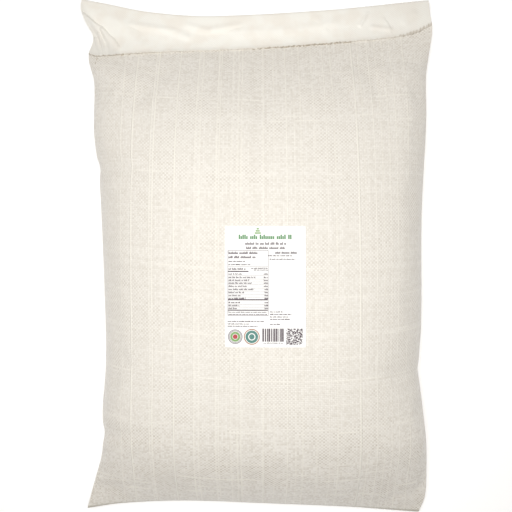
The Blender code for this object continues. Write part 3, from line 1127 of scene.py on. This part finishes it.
@dataclass
class EdgeStitches:
    """Loose overcast stitches of brown thread that show along the cut edge of the band."""

    band: TurnedBand
    finish: BrownThread
    carrier: Drape
    length: float = 5.0 * MM
    radius: float = 0.30 * MM
    dive: float = 0.6 * MM  # how far its ends go down into the cloth
    taper: float = 0.35
    below_edge: float = 0.5 * MM
    lift: float = 0.2 * MM
    ends: tuple[float, float] = (-0.95, 0.94)  # the first and last place across
    spacing: tuple[float, float] = (0.014, 0.026)
    sizes: tuple[float, float] = (0.5, 1.15)
    wander: float = 0.25  # of a stitch's turn, in radians
    # Across, and how likely a stitch shows there
    shown: Points = (
        (-0.98, 0.15), (-0.90, 0.20), (-0.75, 0.05), (-0.10, 0.10), (0.03, 0.85), (0.50, 0.85), (0.58, 0.15),
        (0.80, 0.15), (0.88, 0.20), (0.95, 0.20),
    )
    # Stitches that have come loose down the left side: X, Y, turn in degrees
    loose: tuple[tuple[float, float, float], ...] = ((-0.2278, 0.2800, 75.0), (-0.2292, 0.2735, 100.0))
    seed: int = 11

    def build(self) -> Object:
        """Models one stitch, lays copies of it along the edge and joins them.

        Returns:
            The finished piece.
        """
        chance = random.Random(self.seed)
        first = self._stitch()
        stitches = []
        across, last = self.ends
        while across < last:
            across += chance.uniform(*self.spacing)
            if chance.random() > float(smooth_curve(self.shown, across)):
                continue
            here, there = self._edge_place(across), self._edge_place(across + 0.01)
            turn = math.atan2(there.y - here.y, there.x - here.x) + chance.uniform(-self.wander, self.wander)
            stitches.append(self._copy(first, here, turn, chance.uniform(*self.sizes)))
        shift_x, shift_y = self.band.form.shift
        for x, y, turn in self.loose:
            here = self._on_cloth(x + shift_x, y + shift_y)
            stitches.append(self._copy(first, here, math.radians(turn), 1.0))
        bpy.data.objects.remove(first, do_unlink=True)
        deselect_all()
        for stitch in stitches:
            stitch.select_set(True)
        bpy.context.view_layer.objects.active = stitches[0]
        bpy.ops.object.join()
        piece = bpy.context.active_object
        bpy.ops.object.shade_smooth()
        log.info("%d stitches", len(stitches))
        dress(piece, "edge_stitches", self.finish.material())
        return piece

    def _copy(self, first: Object, place: Vector, turn: float, size: float) -> Object:
        """Lays one copy of the stitch.

        Args:
            first: the stitch to copy.
            place: where its middle lies.
            turn: its turn from the X axis, in radians.
            size: its length as a share of the first's.

        Returns:
            The copy.
        """
        copy = bpy.data.objects.new("stitch", first.data.copy())
        bpy.context.collection.objects.link(copy)
        stretch = Matrix.Diagonal((size, 1.0, 1.0, 1.0))
        copy.data.transform(Matrix.Translation(place) @ Matrix.Rotation(turn, 4, "Z") @ stretch)
        return copy

    def _edge_place(self, across: float) -> Vector:
        """Finds the place on the cloth just below the band's edge.

        Args:
            across: the place across, from -1 to 1.

        Returns:
            The place of a stitch's middle there.
        """
        value = np.array([across])
        along = self.band.edge_along(value)
        x, y, _ = self.band.form.surface(value, along, np.ones(1))[0]
        return self._on_cloth(x, y - self.below_edge)

    def _on_cloth(self, x: float, y: float) -> Vector:
        """The place of a stitch's middle on the cloth."""
        return Vector((x, y, self.carrier.height(x, y) + self.lift))

    def _stitch(self) -> Object:
        """Models one stitch along X: a short thread whose ends dive into the cloth.

        Returns:
            The stitch.
        """
        deselect_all()
        bpy.ops.mesh.primitive_cylinder_add(
            vertices=8, radius=self.radius, depth=self.length, rotation=(0.0, math.pi / 2.0, 0.0)
        )
        piece = bpy.context.active_object
        bpy.ops.object.transform_apply(location=True, rotation=True, scale=True)
        cut_edges(piece, 0, self.length / 2.0, 5)
        places = vertex_places(piece.data)
        share = np.abs(places[:, 0]) / (self.length / 2.0)
        places[:, 2] -= self.dive * share**3
        places[:, 1:] *= (1.0 - self.taper * share**4)[:, None]
        move_vertices(piece.data, places)
        return piece


@dataclass
class PaperLabel:
    """The rectangular paper label, stuck on the front."""

    centre: tuple[float, float]
    finish: LabelPaper
    carrier: Drape
    width: float = 101.6 * MM
    length: float = 152.4 * MM
    clearance: float = 0.4 * MM
    thickness: float = 0.25 * MM
    columns: int = 34
    rows: int = 50
    corner_cut: float = 0.24 * MM  # how far each corner comes in, as a small round one does
    bridge: float = 0.2 * MM
    piece: Object = field(init=False)

    def build(self) -> Object:
        """Models the label on the cloth and dresses it.

        Returns:
            The finished piece.
        """
        deselect_all()
        bpy.ops.mesh.primitive_grid_add(x_subdivisions=self.columns, y_subdivisions=self.rows, size=1.0)
        self.piece = bpy.context.active_object
        flat = vertex_places(self.piece.data)
        places = np.zeros_like(flat)
        places[:, :2] = np.array(self.centre) + flat[:, :2] * (self.width, self.length)
        corner = np.all(np.abs(flat[:, :2]) > 0.499, axis=1)
        places[corner, :2] -= np.sign(flat[corner, :2]) * self.corner_cut
        places[:, 2] = self._bridge(self.carrier.heights(places), flat) + self.clearance
        move_vertices(self.piece.data, places)
        thicken(self.piece, self.thickness, 40.0)
        dress(self.piece, "paper_label", self.finish.material())
        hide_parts("label")
        return self.piece

    def _bridge(self, heights: np.ndarray, flat: np.ndarray) -> np.ndarray:
        """Evens out the cloth's small waves, as paper does, and never goes below the cloth.

        Args:
            heights: the cloth's height under each vertex.
            flat: each vertex's place in the flat label, from -0.5 to 0.5.

        Returns:
            The paper's height at each vertex.
        """
        x, y = flat[:, 0], flat[:, 1]
        powers = [(i, j) for i in range(4) for j in range(4 - i)]
        terms = np.stack([x**i * y**j for i, j in powers], axis=1)
        even = terms @ np.linalg.lstsq(terms, heights, rcond=None)[0]
        return np.maximum(even + self.bridge, heights)


@dataclass
class LabelPrint:
    """The label's print, in generic marks alone: lines of ticks, bars, rules, a frame, rings and blocks.

    Places are in millimetres to the right of and below the label's top left corner.
    """

    label: PaperLabel
    carrier: Drape
    lift: float = 0.07 * MM
    cut: float = 6.0 * MM
    tick_pitch: float = 0.42  # as a share of the tallest tick
    tick_heights: tuple[float, ...] = (0.68, 0.68, 1.0)
    word_ticks: tuple[int, int] = (3, 10)
    word_gap: float = 1.1  # in ticks
    bar_widths: tuple[float, ...] = (0.5, 0.9, 1.5, 2.0)
    bar_gaps: tuple[float, ...] = (0.4, 0.4, 0.8, 1.2)
    block: float = 0.96
    blocks: int = 21
    inked_blocks: float = 0.60
    chance: random.Random = field(default_factory=lambda: random.Random(7))

    def build(self) -> None:
        """Prints every ink of the label: its marks, and its rings and discs."""
        left_stamp, right_stamp = (13.0, 139.0), (33.8, 139.0)
        heading_bars = [(37.4, 8.0, 7.6, 1.9), (38.6, 5.3, 5.2, 1.9), (39.8, 2.6, 2.8, 1.9)]
        for ink, marks, rings in (
            (Ink.DARK, self._dark_marks(), []),
            (Ink.GREY, self._grey_marks(), [(left_stamp, 9.1, 8.2), (left_stamp, 7.7, 7.0)]),
            (Ink.GREEN, self._line(11.0, 17.3, 82.5, 5.6, 0.80), []),
            (Ink.LEAF, heading_bars, [(left_stamp, 6.3, 3.6)]),
            (Ink.RED, [], [(left_stamp, 3.0, 0.0)]),
            (Ink.RUST, [], [(right_stamp, 9.9, 8.8)]),
            (Ink.TEAL, [], [(right_stamp, 7.9, 4.6), (right_stamp, 3.4, 0.0)]),
        ):
            self._print(ink, marks, rings)

    def _line(self, top: float, left: float, right: float, height: float, weight: float = 0.86) -> list:
        """Makes a line of ticks in word lengths, which reads as small print from afar and says nothing.

        Args:
            top: the line's top.
            left: where it starts.
            right: where it ends at the latest.
            height: the tallest tick.
            weight: the share of a tick's pitch that is inked.

        Returns:
            Marks as (left, top, width, height).
        """
        marks, at = [], left
        pitch = self.tick_pitch * height
        while at < right:
            word_end = at + pitch * self.chance.randint(*self.word_ticks)
            while at < min(word_end, right):
                tall = height * self.chance.choice(self.tick_heights)
                marks.append((at, top + height - tall, pitch * weight, tall))
                at += pitch
            at += pitch * self.word_gap
        return marks

    def _dark_marks(self) -> list:
        """Makes the dark print: the heading lines, the table's words and bars, and both code-like patterns.

        Returns:
            Marks as (left, top, width, height).
        """
        line = self._line
        marks = line(20.6, 25.4, 76.2, 3.1, 0.78) + line(26.0, 26.6, 75.0, 3.1, 0.78)
        marks += line(32.2, 4.6, 40.4, 3.2, 0.80) + line(37.4, 4.6, 37.5, 3.2, 0.80)
        marks += line(43.6, 4.6, 25.0, 1.7) + line(47.6, 4.6, 32.0, 1.7)
        marks += line(52.6, 4.6, 25.4, 2.4, 0.85) + line(52.4, 33.0, 53.7, 1.5) + line(54.6, 36.0, 53.7, 1.3)
        # The table's rows: top, end of its words, start of its amount
        for top, end, amount in (
            (59.3, 22.0, 48.6), (63.5, 38.0, 48.6), (67.2, 30.0, 48.6), (70.8, 33.0, 48.6), (74.6, 27.0, 48.6),
            (78.6, 36.0, 49.6), (82.4, 24.0, 49.6), (86.2, 20.0, 49.6), (89.9, 26.0, 49.6), (95.0, 20.0, 49.6),
            (98.8, 18.0, 49.6), (102.4, 15.0, 49.6),
        ):
            marks += line(top, 4.6, end, 1.8) + line(top, amount, 53.4, 1.8)
        marks += line(107.4, 4.6, 52.5, 1.3) + line(110.2, 4.6, 52.5, 1.3)
        marks += line(118.9, 3.5, 48.5, 1.5) + line(122.1, 3.5, 30.0, 1.4) + line(125.0, 3.5, 41.0, 1.4)
        marks += line(32.2, 62.9, 90.0, 2.7, 0.84) + line(36.6, 54.6, 84.0, 1.5) + line(41.0, 56.0, 88.0, 1.5)
        for top, end in ((106.8, 72.0), (110.0, 83.1), (113.1, 79.0), (116.2, 82.0), (122.4, 68.7)):
            marks += line(top, 56.5, end, 1.5)
        marks += [(4.0, 56.3, 25.7, 1.5), (4.0, 91.7, 49.7, 1.6), (4.0, 104.9, 49.7, 1.4)]
        return marks + self._bars() + self._blocks()

    def _bars(self) -> list:
        """Makes upright bars of chance widths, with ticks below them.

        Returns:
            Marks as (left, top, width, height).
        """
        marks, at = [], 47.0
        while at < 74.0:
            width = self.chance.choice(self.bar_widths)
            marks.append((at, 128.6, width, 16.4))
            at += width + self.chance.choice(self.bar_gaps)
        return marks + self._line(146.0, 48.5, 73.0, 1.7, 0.5)

    def _blocks(self) -> list:
        """Makes a square of chance blocks, those side by side as one mark.

        Returns:
            Marks as (left, top, width, height).
        """
        left, top, cells = 77.1, 128.6, range(self.blocks)
        inked = {(column, row) for column in cells for row in cells if self.chance.random() < self.inked_blocks}
        marks = []
        for row in cells:
            column = 0
            while column < self.blocks:
                end = column
                while (end, row) in inked:
                    end += 1
                if end > column:
                    place = left + column * self.block, top + row * self.block
                    marks.append((*place, (end - column) * self.block, self.block))
                column = end + 1
        return marks

    def _grey_marks(self) -> list:
        """Makes the grey print: the table's frame and its thin rules.

        Returns:
            Marks as (left, top, width, height).
        """
        left, top, wide, tall, line = 3.5, 30.5, 51.1, 81.4, 0.6
        marks = [(left, top, wide, line), (left, top + tall, wide, line)]
        marks += [(left, top, line, tall), (left + wide - line, top, line, tall)]
        rules = (51.0, 62.3, 66.3, 70.0, 73.6, 77.6, 81.4, 85.2, 88.9, 97.8, 101.4)
        return marks + [(left + 1.0, at, wide - 2.0, 0.5) for at in rules]

    def _print(self, ink: Ink, marks: list, rings: list) -> None:
        """Models one ink's marks on the label and dresses them.

        Args:
            ink: the ink.
            marks: rectangles as (left, top, width, height).
            rings: discs as ((across, down), outer radius, inner radius or 0).
        """
        left = self.label.centre[0] - self.label.width / 2.0
        top = self.label.centre[1] + self.label.length / 2.0
        name = f"print_{ink.name.lower()}"
        mesh = bpy.data.meshes.new(name)
        piece = bpy.data.objects.new(name, mesh)
        bpy.context.collection.objects.link(piece)
        make_active(piece)
        bpy.ops.object.mode_set(mode="EDIT")
        bpy.ops.mesh.select_mode(type="FACE")
        for (across, down), outer, inner in rings:
            bpy.ops.mesh.select_all(action="DESELECT")
            place = (left + across * MM, top - down * MM, 0.0)
            bpy.ops.mesh.primitive_circle_add(vertices=40, radius=outer * MM, fill_type="NGON", location=place)
            if inner:
                bpy.ops.mesh.inset(thickness=(outer - inner) * MM)
                bpy.ops.mesh.delete(type="FACE")
        if marks:
            bpy.ops.mesh.select_all(action="DESELECT")
            self._add_rectangles(piece, marks, left, top)
        self._cut_up(left, top)
        bpy.ops.object.mode_set(mode="OBJECT")
        places = vertex_places(mesh)
        places[:, 2] = self.carrier.heights(places) + self.lift
        move_vertices(mesh, places)
        bpy.ops.object.shade_smooth()
        dress(piece, name, PrintedInk(ink).material())

    def _add_rectangles(self, piece: Object, marks: list, left: float, top: float) -> None:
        """Adds flat rectangles in edit mode.

        Args:
            piece: the piece, in edit mode.
            marks: rectangles as (left, top, width, height).
            left: the label's left side.
            top: the label's top side.
        """
        mesh = bmesh.from_edit_mesh(piece.data)
        for mark_left, mark_top, width, height in marks:
            west, north = left + mark_left * MM, top - mark_top * MM
            east, south = west + width * MM, north - height * MM
            corners = ((west, south), (east, south), (east, north), (west, north))
            mesh.faces.new([mesh.verts.new((*corner, 0.0)) for corner in corners])
        bmesh.update_edit_mesh(piece.data)

    def _cut_up(self, left: float, top: float) -> None:
        """Cuts the marks in edit mode on a square grid, so that they can follow the label's curve.

        Args:
            left: the label's left side.
            top: the label's top side.
        """
        for start, reach, normal in (
            (left, self.label.width, Vector((1.0, 0.0, 0.0))),
            (top - self.label.length, self.label.length, Vector((0.0, 1.0, 0.0))),
        ):
            for step in range(1, int(reach / self.cut) + 1):
                bpy.ops.mesh.select_all(action="SELECT")
                bpy.ops.mesh.bisect(plane_co=normal * (start + step * self.cut), plane_no=normal)


@dataclass
class Studio:
    """A plain pale floor, soft light from above and a camera that looks straight down."""

    camera_height: float = 0.95
    lens: float = 44.77
    sky_colour: str = "#FFF6EA"
    sky_strength: float = 0.19
    lamp_place: tuple[float, float, float] = (-0.065, 0.08, 1.38)
    lamp_width: float = 0.9
    lamp_power: float = 16.5
    floor_width: float = 8.0
    floor_drop: float = 0.3 * MM
    floor_glow: float = 0.22

    def build(self) -> None:
        """Sets up the floor, the light and the camera."""
        scene = bpy.context.scene
        scene.view_settings.view_transform = "Standard"
        self._floor()
        world = bpy.data.worlds.new("studio")
        world.use_nodes = True
        sky = world.node_tree.nodes["Background"]
        sky.inputs["Color"].default_value = linear(self.sky_colour)
        sky.inputs["Strength"].default_value = self.sky_strength
        scene.world = world
        deselect_all()
        bpy.ops.object.light_add(type="AREA", location=self.lamp_place)
        lamp = bpy.context.active_object
        lamp.name = "soft_box"
        lamp.data.shape = "DISK"
        lamp.data.size = self.lamp_width
        lamp.data.energy = self.lamp_power
        lamp.rotation_euler = Vector(self.lamp_place).to_track_quat("Z", "Y").to_euler()
        bpy.ops.object.camera_add(location=(0.0, 0.0, self.camera_height), rotation=(0.0, 0.0, 0.0))
        camera = bpy.context.active_object
        camera.data.lens = self.lens
        camera.data.sensor_width = 36.0
        camera.data.clip_start = 0.01
        scene.camera = camera

    def _floor(self) -> None:
        """Lays the floor: a wide plain sheet of paper just under the sack."""
        deselect_all()
        bpy.ops.mesh.primitive_plane_add(size=self.floor_width, location=(0.0, 0.0, 0.0))
        floor = bpy.context.active_object
        floor.name = "studio_floor"
        places = vertex_places(floor.data)
        places[:, 2] -= self.floor_drop
        move_vertices(floor.data, places)
        material = new_material("floor paper", 0.9, 1.45)
        add = partial(add_node, material.node_tree)
        place = add("TexCoord").outputs["Object"]
        clouds = add("TexNoise", {"Vector": place, "Scale": 3.0, "Detail": 1.0})
        paint(material.node_tree, "#FEFEFE", [(clouds, "#FFFFFF")])
        shader = material.node_tree.nodes["Principled BSDF"]
        shader.inputs["Emission Color"].default_value = linear("#FFFFFF")
        shader.inputs["Emission Strength"].default_value = self.floor_glow
        floor.data.materials.append(material)


LABEL_CENTRE = (0.0104, -0.0381)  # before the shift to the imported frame


def main() -> None:
    """Builds the sack and the studio, in order."""
    logging.basicConfig(level=logging.INFO, format="%(message)s")
    low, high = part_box("label")
    centre = ((low[0] + high[0]) / 2.0, (low[1] + high[1]) / 2.0)
    form = SackForm(shift=(centre[0] - LABEL_CENTRE[0], centre[1] - LABEL_CENTRE[1]))
    log.info("shift to the packed frame: %.5f, %.5f", *form.shift)
    cloth = SackCloth(form, WovenCloth()).build()
    on_cloth = Drape(cloth)
    band = TurnedBand(form, SmoothCloth())
    band.build()
    EdgeStitches(band, BrownThread(), on_cloth).build()
    label = PaperLabel(centre, LabelPaper(), on_cloth)
    LabelPrint(label, Drape(label.build())).build()
    Studio().build()


if __name__ == "__main__":
    main()
